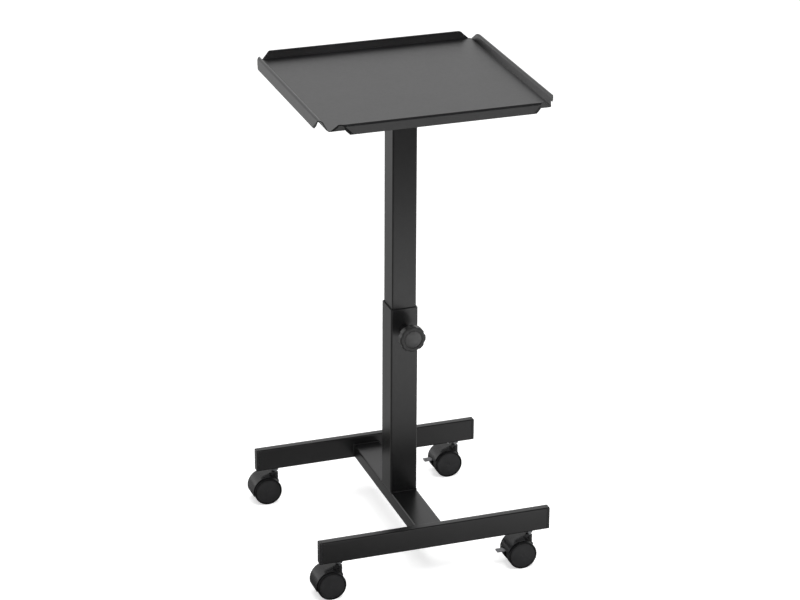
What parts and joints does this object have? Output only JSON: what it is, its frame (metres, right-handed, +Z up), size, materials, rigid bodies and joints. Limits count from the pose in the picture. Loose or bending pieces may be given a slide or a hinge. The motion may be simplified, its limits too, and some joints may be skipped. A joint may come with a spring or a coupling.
{
  "type": "portable projector stand",
  "caption": "Black steel stand on casters with a height-adjustable square column, a clamp knob and a folded-rim tray for a projector.",
  "frame": {"origin": "on the floor, under the middle of the stand's bounding box", "axes": "+Z up, +X along the cross bars to the right, +Y to the back along the spine"},
  "size_m": [0.4388, 0.4326, 0.8715],
  "materials": {
    "black_coat": "satin black powder coat",
    "black_plastic": "moulded black plastic, fine grain",
    "wheel_plastic": "hard black wheel plastic",
    "zinc_steel": "bright zinc"
  },
  "bodies": {
    "base": {"front_cross_bar": "black_coat", "rear_cross_bar": "black_coat", "spine_bar": "black_coat", "lower_tube": "black_coat", "clamp_nut": "black_coat", "front_left_cap": "black_plastic", "front_left_stem": "zinc_steel", "front_right_cap": "black_plastic", "front_right_stem": "zinc_steel", "rear_left_cap": "black_plastic", "rear_left_stem": "zinc_steel", "rear_right_cap": "black_plastic", "rear_right_stem": "zinc_steel"},
    "column": {"upper_tube": "black_coat", "tray_bracket": "black_coat", "tray": "black_coat"},
    "knob": {"clamp_knob": "black_plastic", "clamp_stud": "zinc_steel"},
    "front_left_caster": {"front_left_hood": "black_plastic", "front_left_axle": "zinc_steel"},
    "front_left_wheel_near": {"front_left_wheel_near": "wheel_plastic"},
    "front_left_wheel_far": {"front_left_wheel_far": "wheel_plastic"},
    "front_right_caster": {"front_right_hood": "black_plastic", "front_right_axle": "zinc_steel", "front_right_brake_pin": "zinc_steel"},
    "front_right_wheel_near": {"front_right_wheel_near": "wheel_plastic"},
    "front_right_wheel_far": {"front_right_wheel_far": "wheel_plastic"},
    "front_right_brake": {"front_right_brake": "black_plastic"},
    "rear_left_caster": {"rear_left_hood": "black_plastic", "rear_left_axle": "zinc_steel"},
    "rear_left_wheel_near": {"rear_left_wheel_near": "wheel_plastic"},
    "rear_left_wheel_far": {"rear_left_wheel_far": "wheel_plastic"},
    "rear_right_caster": {"rear_right_hood": "black_plastic", "rear_right_axle": "zinc_steel", "rear_right_brake_pin": "zinc_steel"},
    "rear_right_wheel_near": {"rear_right_wheel_near": "wheel_plastic"},
    "rear_right_wheel_far": {"rear_right_wheel_far": "wheel_plastic"},
    "rear_right_brake": {"rear_right_brake": "black_plastic"}
  },
  "joints": [
    {"name": "height_slide", "type": "slide", "parent": "base", "child": "column", "axis": [0, 0, 1], "range_m": [-0.22, 0.03]},
    {"name": "clamp_turn", "type": "hinge", "parent": "base", "child": "knob", "pos_m": [0.00537, -0.02347, 0.4065], "axis": [0, -1, 0], "range_deg": [0, 360]},
    {"name": "front_left_swivel", "type": "hinge", "parent": "base", "child": "front_left_caster", "pos_m": [-0.17213, -0.18947, 0.0535], "axis": [0, 0, 1], "continuous": true},
    {"name": "front_left_near_spin", "type": "hinge", "parent": "front_left_caster", "child": "front_left_wheel_near", "pos_m": [-0.19137, -0.18947, 0.026], "axis": [0, 1, 0], "continuous": true},
    {"name": "front_left_far_spin", "type": "hinge", "parent": "front_left_caster", "child": "front_left_wheel_far", "pos_m": [-0.19137, -0.18947, 0.026], "axis": [0, 1, 0], "continuous": true},
    {"name": "front_right_swivel", "type": "hinge", "parent": "base", "child": "front_right_caster", "pos_m": [0.18288, -0.18947, 0.0535], "axis": [0, 0, 1], "continuous": true},
    {"name": "front_right_near_spin", "type": "hinge", "parent": "front_right_caster", "child": "front_right_wheel_near", "pos_m": [0.16362, -0.18947, 0.026], "axis": [0, 1, 0], "continuous": true},
    {"name": "front_right_far_spin", "type": "hinge", "parent": "front_right_caster", "child": "front_right_wheel_far", "pos_m": [0.16362, -0.18947, 0.026], "axis": [0, 1, 0], "continuous": true},
    {"name": "front_right_brake_press", "type": "hinge", "parent": "front_right_caster", "child": "front_right_brake", "pos_m": [0.14963, -0.18947, 0.028], "axis": [0, -1, 0], "range_deg": [0, 12]},
    {"name": "rear_left_swivel", "type": "hinge", "parent": "base", "child": "rear_left_caster", "pos_m": [-0.17213, 0.19253, 0.0535], "axis": [0, 0, 1], "continuous": true},
    {"name": "rear_left_near_spin", "type": "hinge", "parent": "rear_left_caster", "child": "rear_left_wheel_near", "pos_m": [-0.19137, 0.19253, 0.026], "axis": [0, 1, 0], "continuous": true},
    {"name": "rear_left_far_spin", "type": "hinge", "parent": "rear_left_caster", "child": "rear_left_wheel_far", "pos_m": [-0.19137, 0.19253, 0.026], "axis": [0, 1, 0], "continuous": true},
    {"name": "rear_right_swivel", "type": "hinge", "parent": "base", "child": "rear_right_caster", "pos_m": [0.18288, 0.19253, 0.0535], "axis": [0, 0, 1], "continuous": true},
    {"name": "rear_right_near_spin", "type": "hinge", "parent": "rear_right_caster", "child": "rear_right_wheel_near", "pos_m": [0.16362, 0.19253, 0.026], "axis": [0, 1, 0], "continuous": true},
    {"name": "rear_right_far_spin", "type": "hinge", "parent": "rear_right_caster", "child": "rear_right_wheel_far", "pos_m": [0.16362, 0.19253, 0.026], "axis": [0, 1, 0], "continuous": true},
    {"name": "rear_right_brake_press", "type": "hinge", "parent": "rear_right_caster", "child": "rear_right_brake", "pos_m": [0.14963, 0.19253, 0.028], "axis": [0, -1, 0], "range_deg": [0, 12]}
  ]
}
